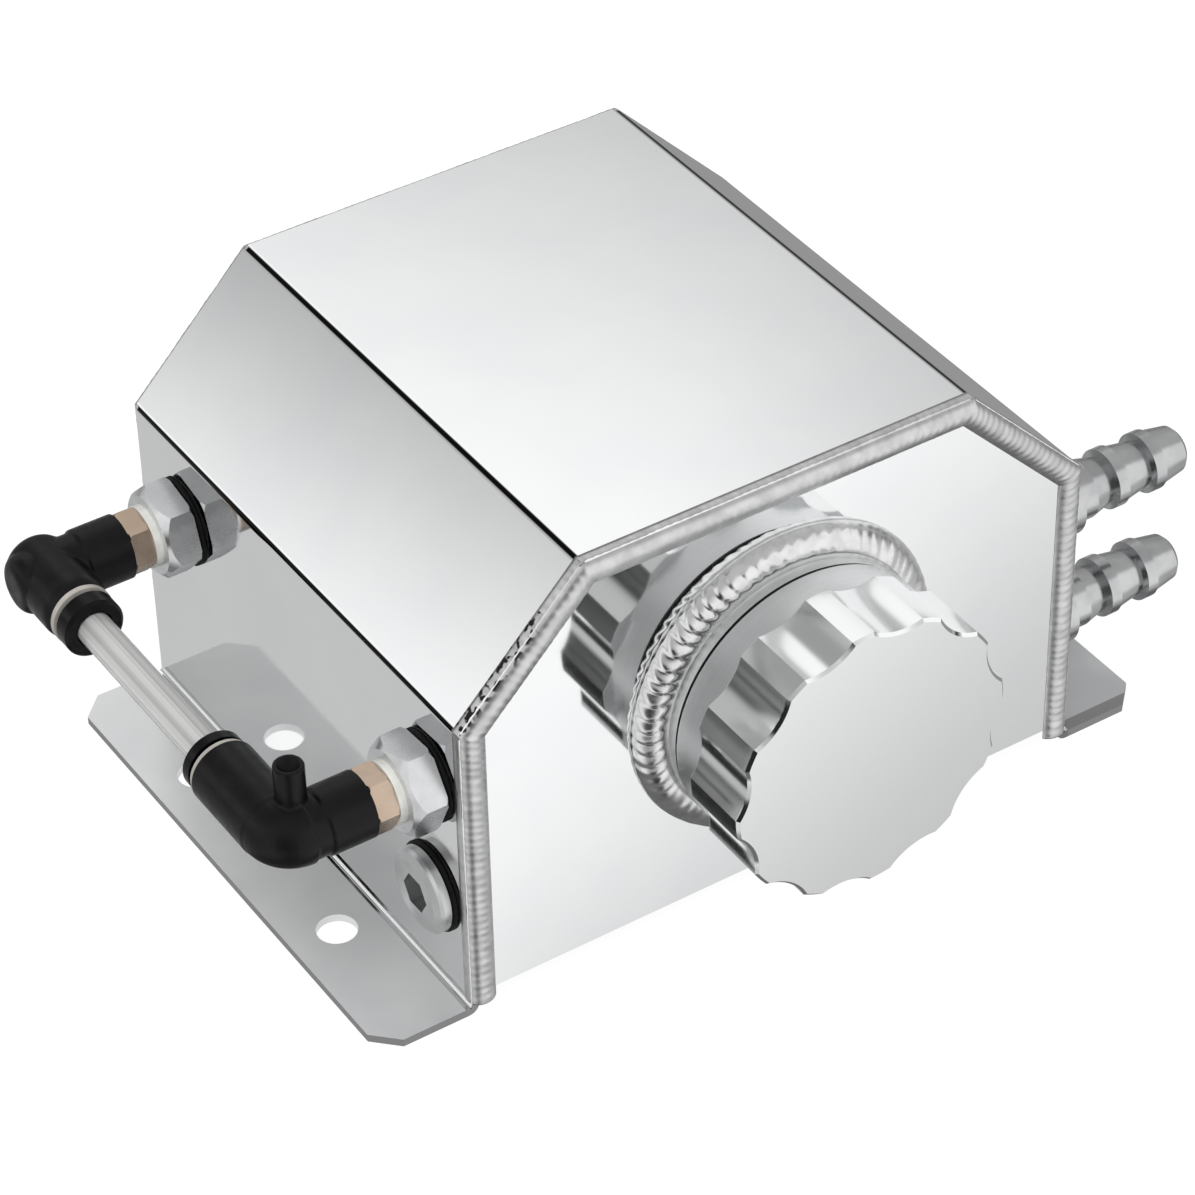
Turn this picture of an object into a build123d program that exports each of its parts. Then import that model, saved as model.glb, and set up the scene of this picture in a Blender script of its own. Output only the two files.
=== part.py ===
from build123d import *
from math import atan2, cos, pi, sin, tan
import os

# Oil catch can: a folded and welded aluminium tank with a screw cap, sight tube and hose barbs.
# Millimetres. X runs across the tank, the cap faces -Y, and Z = 0 is the underside of the mounting
# flanges. The origin is the centre of the four mounting holes.

# Folded tank body
tank_width = 120.0
tank_length = 102.7
tank_height = 82.4
wall_height = 58.9
top_width = 74.0
sheet = 1.5
bend_inside = 0.5

# Mounting flanges
flange_width = 17.0
flange_chamfer = 4.2
hole_diameter = 7.0
hole_pitch_x = 137.0
hole_pitch_y = 46.6

# End plates and floor
plate_thickness = 3.0
floor_gap = 4.0
fold_clearance = 0.3

# Weld seams
bead_on_plate = 4.6
bead_on_sheet = 2.0
bead_crown_inset = 1.6
bead_rise = 1.2
neck_weld_foot = 3.3
neck_weld_rise = 3.4
floor_weld_leg = 2.2
weld_clearance = 0.05

# Filler neck and screw cap
neck_height = 43.0
neck_diameter = 48.0
neck_wall = 3.0
neck_reach = 5.5
cap_seal_thickness = 0.8
cap_seal_step = 0.3
cap_collar_diameter = 48.6
cap_collar_length = 6.0
cap_grip_diameter = 51.6
cap_grip_length = 13.0
cap_face_thickness = 3.0
cap_edge = 0.5
flute_count = 12
flute_depth = 1.6
flute_land = 4.0
flute_start = 20.0
plug_depth = 8.6
plug_wall = 3.0
thread_clearance = 0.3

# Ports on the side walls
port_height = 43.7
low_port_height = 20.3
front_port_inset = 10.5
rear_port_inset = 14.3
washer_diameter = 16.0
washer_thickness = 1.0
hole_clearance = 0.2
fit_clearance = 0.05

# Bulkhead adaptors and their lock nuts
adaptor_flats = 15.0
adaptor_turn = {"front": 5.0, "rear": -12.0}
adaptor_length = 5.7
adaptor_bevel = 1.6
adaptor_back_bevel = 0.5
adaptor_shank = 10.0
adaptor_tail = 1.6
adaptor_bore = 5.0
lock_nut_flats = 14.0
lock_nut_length = 4.0

# Elbow stems and their seal rings
stem_seal_diameter = 11.0
stem_seal_thickness = 1.3
stem_flats = 10.0
stem_hex_length = 4.0
stem_bevel = 0.5
stem_turn = {"front": 2.0, "rear": -11.0}
stem_thread = 8.0
stem_thread_length = 8.5
stem_spigot = 7.0
stem_spigot_length = 7.6
stem_bore = 4.0

# Moulded elbows
elbow_reach = 13.8
barrel_diameter = 11.3
barrel_length = 7.6
throat_diameter = 10.6
arm_diameter = 11.5
arm_end = {"front": 18.5, "rear": 11.9}
vent_diameter = 5.2
vent_height = 13.7
vent_bore = 2.8
vent_bore_depth = 6.0

# Push-in parts of the elbows
tube_diameter = 6.0
tube_bore = 4.0
tube_stop_wall = 1.0
cartridge_depth = 4.6
cartridge_bore = 9.0
tube_seal_length = 1.8
grip_ring_length = 0.6
band_diameter = 11.0
band_length = 1.0
collar_travel = 0.8
collar_end = {"front": 22.6, "rear": 17.0}
collar_diameter = 10.8
collar_sleeve = 8.4
collar_bore = 6.6
collar_edge = 0.5

# Drain plug and its boss
drain_head_diameter = 15.0
drain_head_length = 1.8
drain_dome = 0.5
drain_face_diameter = 11.0
drain_socket_flats = 6.0
drain_socket_depth = 4.0
drain_shank = 10.0
drain_shank_length = 9.0
drain_boss_diameter = 14.6
drain_boss_length = 7.5

# Hose barbs and their bosses
barb_boss_diameter = 13.4
barb_boss_length = 5.2
barb_boss_spigot = 11.6
barb_boss_tail = 1.0
barb_shank = 8.8
barb_shank_length = 7.0
barb_bore = 5.5
barb_collar_diameter = 10.5
barb_collar_length = 3.7
barb_neck_diameter = 8.4
barb_ridge_diameter = 10.8
barb_ridge_step = 0.3
barb_ridge_land = 2.4
barb_first_cone = 4.2
barb_second_cone = 5.5
barb_last_cone = 5.9
barb_tip_round = 0.8

# Places worked out from the sizes above
front_face = -tank_length / 2
rear_face = tank_length / 2
inner_wall = tank_width / 2 - sheet
shoulder = atan2(tank_height - wall_height, (tank_width - top_width) / 2)
port_y = {"front": front_face + front_port_inset, "rear": rear_face - rear_port_inset}
adaptor_start = washer_thickness
stem_seal_start = adaptor_start + adaptor_length
stem_start = stem_seal_start + stem_seal_thickness
barrel_start = stem_start + stem_hex_length
arm_axis = barrel_start + elbow_reach
cap_seal_start = neck_reach
cap_start = cap_seal_start + cap_seal_thickness
cap_grip_start = cap_start + cap_collar_length
cap_top = cap_grip_start + cap_grip_length
neck_bore = neck_diameter - 2 * neck_wall
plug_diameter = neck_bore - 2 * thread_clearance


def save(node, shape):
    """Write one piece to its own file."""
    export_step(shape, os.path.join("parts", node + ".step"))


def left_port(y, z):
    """Plane on the left wall, its normal pointing out of the tank."""
    return Plane(origin=(-tank_width / 2, y, z), x_dir=(0, 1, 0), z_dir=(-1, 0, 0))


def right_port(y, z):
    """Plane on the right wall, its normal pointing out of the tank."""
    return Plane(origin=(tank_width / 2, y, z), x_dir=(0, 1, 0), z_dir=(1, 0, 0))


def neck_plane():
    """Plane on the front plate at the neck's centre, its normal pointing out of the tank."""
    return Plane(origin=(0, front_face, neck_height), x_dir=(1, 0, 0), z_dir=(0, -1, 0))


def arm_plane(side):
    """Plane at an elbow's corner, its normal pointing along the sight tube."""
    along = {"front": 1, "rear": -1}[side]
    corner = (-tank_width / 2 - arm_axis, port_y[side], port_height)
    return Plane(origin=corner, x_dir=(1, 0, 0), z_dir=(0, along, 0))


def turned(points):
    """Solid of revolution about Z from points of radius and height."""
    outline = make_face(Polyline(*[(radius, 0, height) for radius, height in points], close=True))
    return revolve(outline, Axis.Z)


def ring(outer, inner, low, high):
    """Tube about Z between two heights, from its two diameters."""
    return turned([(inner / 2, low), (outer / 2, low), (outer / 2, high), (inner / 2, high)])


def rod(diameter, low, high):
    """Round bar about Z between two heights."""
    return turned([(0, low), (diameter / 2, low), (diameter / 2, high), (0, high)])


def hexagon(flats, low, high, turn=0.0):
    """Hexagonal bar about Z between two heights."""
    outline = RegularPolygon(radius=flats / 2, side_count=6, major_radius=False, rotation=turn)
    return extrude(Pos(0, 0, low) * outline, amount=high - low)


def bevelled_hexagon(flats, low, high, bevels, turn=0.0):
    """Hexagonal bar with its corners turned off by a bevel at the low end and one at the high end."""
    corner = flats / 2 / cos(pi / 6)
    low_bevel, high_bevel = bevels
    rim = [(0, low), (corner - low_bevel, low), (corner, low + low_bevel)]
    rim += [(corner, high - high_bevel), (corner - high_bevel, high), (0, high)]
    return hexagon(flats, low, high, turn) & turned(rim)


def fold_points(inset):
    """Wall fold and top fold of the right half, on a surface that lies inset inside the outer one."""
    wall_fold = (tank_width / 2 - inset, wall_height - inset * tan((pi / 2 - shoulder) / 2))
    top_fold = (top_width / 2 - inset * tan(shoulder / 2), tank_height - inset)
    return wall_fold, top_fold


def mirrored(points):
    """The points of the left half, in the order that carries on from the right half."""
    return [(-x, z) for x, z in reversed(points)]


def across(outline, front, back):
    """Solid from an outline in X and Z, between two places along Y."""
    start = Plane(origin=(0, back, 0), x_dir=(1, 0, 0), z_dir=(0, -1, 0))
    return extrude(start * outline, amount=back - front)


def side_holes():
    """Cutters for the ports in the two side walls."""
    left = [(port_y[side], port_height, adaptor_shank) for side in port_y]
    left.append((port_y["front"], low_port_height, drain_shank))
    right = [(port_y["front"], height, barb_boss_spigot) for height in (port_height, low_port_height)]
    cutters = [left_port(y, z) * rod(size + 2 * hole_clearance, -2 * sheet, sheet) for y, z, size in left]
    cutters += [right_port(y, z) * rod(size + 2 * hole_clearance, -2 * sheet, sheet) for y, z, size in right]
    return cutters


def body_sheet():
    """One sheet folded into the flanges, walls, shoulders and top."""
    wall_out, top_out = fold_points(0)
    wall_in, top_in = fold_points(sheet)
    edge = tank_width / 2 + flange_width
    outside = [(edge, 0), (edge, sheet), (tank_width / 2, sheet), wall_out, top_out]
    inside = [top_in, wall_in, (inner_wall, 0)]
    outer_bend = bend_inside + sheet
    radii = [0, 0, bend_inside, outer_bend, outer_bend]
    inner_radii = [bend_inside, bend_inside, outer_bend]
    points = outside + mirrored(outside) + mirrored(inside) + inside
    corner_radii = radii + radii[::-1] + inner_radii[::-1] + inner_radii
    section = make_face(FilletPolyline(*points, radius=corner_radii, close=True))
    body = across(section, front_face, rear_face)
    ends = body.edges().filter_by(Axis.Z).filter_by(lambda line: abs(line.center().X) > edge - sheet)
    body = chamfer(ends, flange_chamfer)
    for place in GridLocations(hole_pitch_x, hole_pitch_y, 2, 2):
        body -= place * rod(hole_diameter, -sheet, 2 * sheet)
    for cutter in side_holes():
        body -= cutter
    return body


def end_outline():
    """Outline of an end plate, which fits inside the folded sheet."""
    half = [(inner_wall, floor_gap), *fold_points(sheet)]
    corner = bend_inside + fold_clearance
    radii = [0, corner, corner]
    return make_face(FilletPolyline(*half, *mirrored(half), radius=radii + radii[::-1], close=True))


def front_plate():
    """Front plate with the hole that takes the filler neck."""
    plate = across(end_outline(), front_face, front_face + plate_thickness)
    hole = rod(neck_diameter + 2 * weld_clearance, -2 * plate_thickness, plate_thickness)
    return plate - neck_plane() * hole


def rear_plate():
    """Plain rear plate."""
    return across(end_outline(), rear_face - plate_thickness, rear_face)


def floor_plate():
    """Floor between the walls and the end plates."""
    depth = tank_length - 2 * plate_thickness
    return Pos(0, 0, floor_gap + plate_thickness / 2) * Box(2 * inner_wall, depth, plate_thickness)


def mitred_sweep(section, route):
    """Section swept along straight runs in X and Z, its local X pointing inwards, with mitred corners."""
    places = [Vector(*point) for point in route]
    runs = [(end - start).normalized() for start, end in zip(places, places[1:])]
    mitres = [runs[0], *[(before + after).normalized() for before, after in zip(runs, runs[1:])], runs[-1]]
    bars = []
    for index, run in enumerate(runs):
        start, end = places[index], places[index + 1]
        reach = section.bounding_box().diagonal
        foot = Plane(origin=start - run * reach, x_dir=Vector(0, 1, 0).cross(run), z_dir=run)
        bar = extrude(foot * section, amount=(end - start).length + 2 * reach)
        bar = split(bar, bisect_by=Plane(origin=start, z_dir=mitres[index]), keep=Keep.TOP)
        bars.append(split(bar, bisect_by=Plane(origin=end, z_dir=mitres[index + 1]), keep=Keep.BOTTOM))
    joined = bars[0]
    for bar in bars[1:]:
        joined += bar
    return joined


def front_weld_bead():
    """Weld bead that rounds the outside corner between the front plate and the sheet."""
    on_plate = (bead_on_plate, 0)
    on_sheet = (0, bead_on_sheet)
    crown = (bead_crown_inset, -bead_rise)
    round_corner = TangentArc(crown, on_sheet, tangent=(-1, 0))
    round_face = TangentArc(crown, on_plate, tangent=(1, 0))
    section = make_face(Polyline(on_plate, (0, 0), on_sheet) + round_corner + round_face)
    half = [(tank_width / 2, floor_gap), *fold_points(0)]
    route = [(x, front_face, z) for x, z in reversed(half + mirrored(half))]
    return mitred_sweep(section, route)


def floor_weld():
    """Two seams under the floor, along the walls."""
    corner = (inner_wall, floor_gap)
    low = (inner_wall, floor_gap - floor_weld_leg)
    near = (inner_wall - floor_weld_leg, floor_gap)
    middle = (inner_wall - floor_weld_leg * 0.6, floor_gap - floor_weld_leg * 0.6)
    section = make_face(Polyline(near, corner, low) + ThreePointArc(low, middle, near))
    seam = across(section, front_face + plate_thickness, rear_face - plate_thickness)
    return Compound(children=[seam, mirror(seam, about=Plane.YZ)])


def filler_neck():
    """Neck that passes through the front plate, with the thread's bore."""
    return neck_plane() * ring(neck_diameter, neck_bore, -plate_thickness, neck_reach)


def neck_weld():
    """Round fillet weld between the neck and the front plate."""
    inner = neck_diameter / 2 + weld_clearance
    foot = (inner + neck_weld_foot, 0, 0)
    top = (inner, 0, neck_weld_rise)
    crown = (inner + neck_weld_foot * 0.72, 0, neck_weld_rise * 0.72)
    section = make_face(Polyline(top, (inner, 0, 0), foot) + ThreePointArc(foot, crown, top))
    return neck_plane() * revolve(section, Axis.Z)


def cap_seal():
    """Flat ring that seals the cap on the neck's rim."""
    inner = plug_diameter + 2 * thread_clearance
    outer = neck_diameter - 2 * cap_seal_step
    return neck_plane() * ring(outer, inner, cap_seal_start, cap_start)


def flute_cutter():
    """Round bar that cuts one flute, at its place beside the grip."""
    rim = cap_grip_diameter / 2
    half_angle = pi / flute_count - flute_land / (2 * rim)
    chord = rim * sin(half_angle)
    sagitta = flute_depth - rim * (1 - cos(half_angle))
    radius = (chord ** 2 + sagitta ** 2) / (2 * sagitta)
    centre = rim - flute_depth + radius
    return Pos(centre, 0, 0) * rod(2 * radius, cap_grip_start, cap_top + 1)


def filler_cap():
    """Screw cap: fluted grip, plain collar and a hollow threaded plug."""
    grip = rod(cap_grip_diameter, cap_grip_start, cap_top)
    cutter = flute_cutter()
    for number in range(flute_count):
        grip -= Rot(0, 0, flute_start + number * 360 / flute_count) * cutter
    face = grip.faces().sort_by(Axis.Z)[-1]
    grip = chamfer(face.edges(), cap_edge)
    collar = rod(cap_collar_diameter, cap_start, cap_grip_start)
    plug = rod(plug_diameter, cap_start - plug_depth, cap_start)
    hollow = rod(plug_diameter - 2 * plug_wall, cap_start - plug_depth, cap_top - cap_face_thickness)
    return neck_plane() * (grip + collar + plug - hollow)


def port_washer(side):
    """Sealing washer between an adaptor and the wall."""
    hole = adaptor_shank + 2 * hole_clearance
    return left_port(port_y[side], port_height) * ring(washer_diameter, hole, 0, washer_thickness)


def port_adaptor(side):
    """Hexagonal bulkhead adaptor with a shank through the wall."""
    tail = -sheet - lock_nut_length - adaptor_tail
    outer = adaptor_start + adaptor_length
    bevels = (adaptor_back_bevel, adaptor_bevel)
    body = bevelled_hexagon(adaptor_flats, adaptor_start, outer, bevels, adaptor_turn[side])
    body += rod(adaptor_shank, tail, adaptor_start)
    socket = rod(stem_thread + 2 * fit_clearance, stem_start - stem_thread_length, outer)
    body -= socket + rod(adaptor_bore, tail, outer)
    return left_port(port_y[side], port_height) * body


def lock_nut(side):
    """Nut that holds an adaptor from inside the tank."""
    nut = hexagon(lock_nut_flats, -sheet - lock_nut_length, -sheet, 30.0)
    nut -= rod(adaptor_shank + 2 * fit_clearance, -sheet - 2 * lock_nut_length, 0)
    return left_port(port_y[side], port_height) * nut


def stem_seal(side):
    """Seal ring between an adaptor and an elbow's stem."""
    hole = stem_thread + 4 * fit_clearance
    return left_port(port_y[side], port_height) * ring(stem_seal_diameter, hole, stem_seal_start, stem_start)


def elbow_stem(side):
    """Hexagonal stem: thread into the adaptor, spigot into the elbow, bored through."""
    end = barrel_start + stem_spigot_length
    bevels = (stem_bevel, stem_bevel)
    body = bevelled_hexagon(stem_flats, stem_start, barrel_start, bevels, stem_turn[side])
    body += rod(stem_thread, stem_start - stem_thread_length, stem_start)
    body += rod(stem_spigot, barrel_start, end)
    body -= rod(stem_bore, stem_start - 2 * stem_thread_length, end)
    return left_port(port_y[side], port_height) * body


def elbow_vent():
    """Small hollow spigot that stands on the front elbow's corner."""
    post = rod(vent_diameter, 0, vent_height)
    return post, rod(vent_bore, vent_height - vent_bore_depth, vent_height)


def elbow_body(side):
    """Moulded elbow: barrel on the stem, arm along the sight tube, round corner."""
    port = left_port(port_y[side], port_height)
    arm = arm_plane(side)
    length = arm_end[side]
    stop = length - cartridge_depth - tube_stop_wall
    step = barrel_start + barrel_length
    body = port * rod(barrel_diameter, barrel_start, step)
    body += port * rod(throat_diameter, step, arm_axis)
    body += arm * rod(arm_diameter, 0, length)
    body += arm * Sphere(arm_diameter / 2)
    spigot_end = barrel_start + stem_spigot_length + fit_clearance
    body -= port * rod(stem_spigot + 2 * fit_clearance, barrel_start, spigot_end)
    body -= port * rod(stem_bore, spigot_end, arm_axis)
    body -= arm * rod(stem_bore, 0, stop)
    body -= arm * rod(tube_diameter + 2 * fit_clearance, stop, length)
    body -= arm * rod(cartridge_bore, length - cartridge_depth, length)
    if side == "front":
        post, bore = elbow_vent()
        corner = Pos(*arm.origin)
        body += corner * (post - Sphere(arm_diameter / 2 - fit_clearance))
        body -= corner * bore
    return body


def tube_seal(side):
    """Seal ring round the sight tube, at the bottom of the arm's bore."""
    start = arm_end[side] - cartridge_depth
    outer = cartridge_bore - 2 * fit_clearance
    inner = tube_diameter + 2 * fit_clearance
    return arm_plane(side) * ring(outer, inner, start, start + tube_seal_length)


def grip_ring(side):
    """Steel ring that grips the sight tube, outside its seal."""
    start = arm_end[side] - cartridge_depth + tube_seal_length
    outer = cartridge_bore - 2 * fit_clearance
    inner = tube_diameter + 2 * fit_clearance
    return arm_plane(side) * ring(outer, inner, start, start + grip_ring_length)


def elbow_band(side):
    """Light ring on the arm's mouth that holds the push-in parts."""
    start = arm_end[side]
    return arm_plane(side) * ring(band_diameter, cartridge_bore, start, start + band_length)


def release_collar(side):
    """Collar that is pushed in to free the sight tube."""
    grip_end = arm_end[side] - cartridge_depth + tube_seal_length + grip_ring_length
    start = grip_end + collar_travel + thread_clearance
    flange = arm_end[side] + band_length + collar_travel
    end = collar_end[side]
    outer = collar_diameter / 2
    profile = [
        (collar_bore / 2, start),
        (collar_sleeve / 2, start),
        (collar_sleeve / 2, flange),
        (outer, flange),
        (outer, end - collar_edge),
        (outer - collar_edge, end),
        (collar_bore / 2, end),
    ]
    return arm_plane(side) * turned(profile)


def sight_tube():
    """Clear level tube held between the two elbows."""
    depth = cartridge_depth + tube_stop_wall
    front_end = port_y["front"] + arm_end["front"] - depth
    rear_end = port_y["rear"] - arm_end["rear"] + depth
    start = Plane(origin=(-tank_width / 2 - arm_axis, front_end, port_height), z_dir=(0, 1, 0))
    return start * ring(tube_diameter, tube_bore, 0, rear_end - front_end)


def drain_washer():
    """Sealing washer under the drain plug's head."""
    hole = drain_shank + 2 * hole_clearance
    place = left_port(port_y["front"], low_port_height)
    return place * ring(washer_diameter, hole, 0, washer_thickness)


def drain_plug():
    """Low domed plug with a hexagonal socket and a threaded shank."""
    start = washer_thickness
    rim = start + drain_head_length
    face = rim + drain_dome
    shank = drain_shank / 2 - thread_clearance
    tip = start - drain_shank_length
    profile = [
        (0, tip),
        (shank, tip),
        (shank, start),
        (drain_head_diameter / 2, start),
        (drain_head_diameter / 2, rim - drain_dome),
        (drain_head_diameter / 2 - drain_dome, rim),
        (drain_face_diameter / 2, face),
        (0, face),
    ]
    body = turned(profile) - hexagon(drain_socket_flats, face - drain_socket_depth, face)
    return left_port(port_y["front"], low_port_height) * body


def drain_boss():
    """Threaded boss welded inside the wall for the drain plug."""
    boss = ring(drain_boss_diameter, drain_shank, -sheet - drain_boss_length, -sheet)
    return left_port(port_y["front"], low_port_height) * boss


def barb_boss(height):
    """Round boss on the right wall that a hose barb screws into."""
    hole = barb_shank + 2 * fit_clearance
    boss = ring(barb_boss_diameter, hole, 0, barb_boss_length)
    boss += ring(barb_boss_spigot, hole, -sheet - barb_boss_tail, 0)
    return right_port(port_y["front"], height) * boss


def barb_profile():
    """Outer outline of a hose barb, as radius and height: collar, then a cone behind each ridge."""
    neck = barb_neck_diameter / 2
    ridge = barb_ridge_diameter / 2
    start = barb_boss_length
    points = [(barb_collar_diameter / 2, start), (barb_collar_diameter / 2, start + barb_collar_length)]
    height = start + barb_collar_length + barb_first_cone
    points.append((neck, height))
    for cone in (barb_second_cone, barb_last_cone):
        points.append((ridge, height + barb_ridge_step))
        points.append((ridge, height + barb_ridge_land))
        points.append((ridge - barb_ridge_step, height + barb_ridge_land))
        height += barb_ridge_land + cone
        points.append((neck, height))
    points[-1] = (neck, height - barb_tip_round)
    points.append((neck - barb_tip_round, height))
    return points


def hose_barb(height):
    """Turned hose barb with two ridges, bored through."""
    profile = barb_profile()
    end = profile[-1][1]
    tail = barb_boss_length - barb_shank_length
    bore = barb_bore / 2
    shank = [(bore, tail), (barb_shank / 2, tail), (barb_shank / 2, barb_boss_length)]
    return right_port(port_y["front"], height) * turned(shank + profile + [(bore, end)])


def build():
    """Make every piece and write it."""
    os.makedirs("parts", exist_ok=True)
    bead = front_weld_bead()
    save("body_sheet", body_sheet())
    save("front_plate", front_plate())
    save("rear_plate", rear_plate())
    save("floor_plate", floor_plate())
    save("front_weld_bead", bead)
    save("rear_weld_bead", mirror(bead, about=Plane.XZ))
    save("floor_weld", floor_weld())
    save("filler_neck", filler_neck())
    save("neck_weld", neck_weld())
    save("cap_seal", cap_seal())
    save("filler_cap", filler_cap())
    save("sight_tube", sight_tube())
    save("drain_washer", drain_washer())
    save("drain_plug", drain_plug())
    save("drain_boss", drain_boss())
    port_pieces = {
        "port_washer": port_washer,
        "port_adaptor": port_adaptor,
        "lock_nut": lock_nut,
        "stem_seal": stem_seal,
        "elbow_stem": elbow_stem,
        "elbow_body": elbow_body,
        "tube_seal": tube_seal,
        "grip_ring": grip_ring,
        "elbow_band": elbow_band,
        "release_collar": release_collar,
    }
    for side in port_y:
        for name, make in port_pieces.items():
            save(name + "_" + side, make(side))
    for place, height in {"upper": port_height, "lower": low_port_height}.items():
        save("barb_boss_" + place, barb_boss(height))
        save("hose_barb_" + place, hose_barb(height))


build()
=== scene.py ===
# %% [markdown]
# # Oil catch can
# A folded and welded aluminium tank that catches oil mist from an engine's breather. The solids come
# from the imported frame, already in their places, so this lesson only dresses them: it makes the metals,
# the plastics and the rubber, adds what plain solids leave out, and sets up a small photo studio.

# %% The frame
from math import cos, pi, radians, sin

import bmesh
import bpy
from mathutils import Euler, Matrix, Vector
from mathutils.geometry import interpolate_bezier
from mathutils.noise import noise as perlin


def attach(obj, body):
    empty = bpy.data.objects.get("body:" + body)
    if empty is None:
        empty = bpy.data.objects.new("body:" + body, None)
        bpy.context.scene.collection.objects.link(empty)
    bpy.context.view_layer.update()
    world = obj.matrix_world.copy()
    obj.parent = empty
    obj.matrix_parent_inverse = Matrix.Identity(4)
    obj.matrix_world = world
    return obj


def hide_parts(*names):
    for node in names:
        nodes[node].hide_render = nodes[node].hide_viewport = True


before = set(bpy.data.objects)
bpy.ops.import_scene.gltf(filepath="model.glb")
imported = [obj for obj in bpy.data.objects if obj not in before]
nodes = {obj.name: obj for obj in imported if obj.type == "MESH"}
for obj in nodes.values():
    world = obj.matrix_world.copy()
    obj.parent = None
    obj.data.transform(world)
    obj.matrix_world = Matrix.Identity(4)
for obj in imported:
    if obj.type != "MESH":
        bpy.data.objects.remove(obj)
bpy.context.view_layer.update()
MM = 0.001
print("nodes in the frame:", len(nodes))

# %% [markdown]
# The places that the finishes and the new pieces share, in millimetres, are those of the solids. The
# sheet has two folds on each side, given as a distance from the middle and a height, and it turns out
# into a flange at the bottom. The cap faces -Y, and the ports and the plug are on the left wall.

# %% Places on the tank
wall_face = 60.0
wall_fold = (wall_face, 58.9)
top_fold = (37.0, 82.4)
end_face = 51.35
flange_bend = (60.1, 1.5)
flange_edge = 61.0
flange_hole = (68.5, 23.3)
front_port = -40.85
rear_port = 37.05
port_height = 43.7
plug_height = 20.3
arm_axis = -85.8
neck_height = 43.0
print("end faces:", -end_face, end_face, "ports:", front_port, rear_port)

# %% [markdown]
# Mirror-polished metal shows nothing but its surroundings, so the camera has to stand where the
# photographer stood: a long lens from the front left, well above the tank. Position and turn were
# worked out from the tank's corners, and they are plain numbers here.

# %% The camera
camera_data = bpy.data.cameras.new("camera")
camera_data.sensor_width = 36.0
camera_data.lens = 132.91
camera = bpy.data.objects.new("camera", camera_data)
camera.location = Vector((-315.10, -491.99, 498.31)) * MM
camera.rotation_euler = Euler([radians(angle) for angle in (50.950, 0.957, -33.276)])
bpy.context.scene.collection.objects.link(camera)
bpy.context.scene.camera = camera
bpy.context.scene.view_settings.view_transform = "Standard"

# %% [markdown]
# Every material is a small graph of nodes. One helper adds a node and gives it its settings, and it
# fills the node's sockets with whatever it is handed: a number or colour is written on the socket, a
# socket or a node is linked to it. Colours are written as the hex values that a screen shows, and
# another helper turns them linear. The few settings that come up again have a plain name here.


# %% Helpers for nodes and colours
RGBA = {"data_type": "RGBA"}
STREAKS = {"noise_dimensions": "1D"}
SMOOTH = {"interpolation_type": "SMOOTHSTEP"}
DISTANCE = {"operation": "DISTANCE"}
ABSOLUTE = {"operation": "ABSOLUTE"}
ABOVE = {"operation": "GREATER_THAN"}
BELOW = {"operation": "LESS_THAN"}
EITHER = {"operation": "MAXIMUM"}
BOTH = {"operation": "MULTIPLY"}
PLUS = {"operation": "ADD"}


def fill(node, **inputs):
    """Fill a node's sockets, named as they are, with _ for a space, or i0, i1 by number."""
    for name, value in inputs.items():
        key = int(name[1:]) if name[0] == "i" and name[1:].isdigit() else name.replace("_", " ")
        socket = node.inputs[key]
        if isinstance(value, bpy.types.Node):
            value = next(output for output in value.outputs if output.enabled)
        if isinstance(value, bpy.types.NodeSocket):
            socket.id_data.links.new(value, socket)
        else:
            socket.default_value = value


def add(tree, kind, settings=None, **inputs):
    """Add one node with its settings and links."""
    node = tree.nodes.new(kind)
    for name, value in (settings or {}).items():
        setattr(node, name, value)
    fill(node, **inputs)
    return node


def linear(code, alpha=1.0):
    """The linear colour of an sRGB hex value such as #c0c0c0."""
    shares = [int(code[place:place + 2], 16) / 255 for place in (1, 3, 5)]
    return [s / 12.92 if s <= 0.04045 else ((s + 0.055) / 1.055) ** 2.4 for s in shares] + [alpha]


# %% [markdown]
# The studio is a set of big soft cards around the tank, drawn in the world's own graph so that they
# sit at every direction a reflection may take. A direction is given as a compass heading, counted
# from the tank's back towards its right side, and a height above the horizon. A card is bounded by
# soft straight edges: what lies to the left of an edge, looking out from the tank, is inside.


# %% The cards of the studio
def heading(azimuth, height):
    """Unit vector at a compass heading and a height above the horizon, in degrees."""
    azimuth, height = radians(azimuth), radians(height)
    return Vector((sin(azimuth) * cos(height), cos(azimuth) * cos(height), sin(height)))


world = bpy.data.worlds.new("studio")
bpy.context.scene.world = world
world.use_nodes = True
sky = world.node_tree
sky.nodes.clear()
direction = add(sky, "ShaderNodeTexCoord").outputs["Generated"]


def card(backdrop, level, edges):
    """Lay a card of one grey over the backdrop; each edge is (heading, height) twice and a softness."""
    inside = None
    for start, end, soft in edges:
        normal = heading(*end).cross(heading(*start)).normalized()
        reach = sin(radians(soft))
        side = add(sky, "ShaderNodeVectorMath", {"operation": "DOT_PRODUCT"}, i0=direction, i1=normal)
        share = add(sky, "ShaderNodeMapRange", SMOOTH, Value=side, From_Min=-reach, From_Max=reach)
        inside = share if inside is None else add(sky, "ShaderNodeMath", BOTH, i0=inside, i1=share)
    return add(sky, "ShaderNodeMix", {"data_type": "FLOAT"}, Factor=inside, i2=backdrop, i3=level)


# %% [markdown]
# Behind the cards the room is a ramp of greys from the floor at 0 to the ceiling at 1, with a dark
# band at the horizon, where a real studio has its furniture. Every card is laid over what came before.

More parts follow.
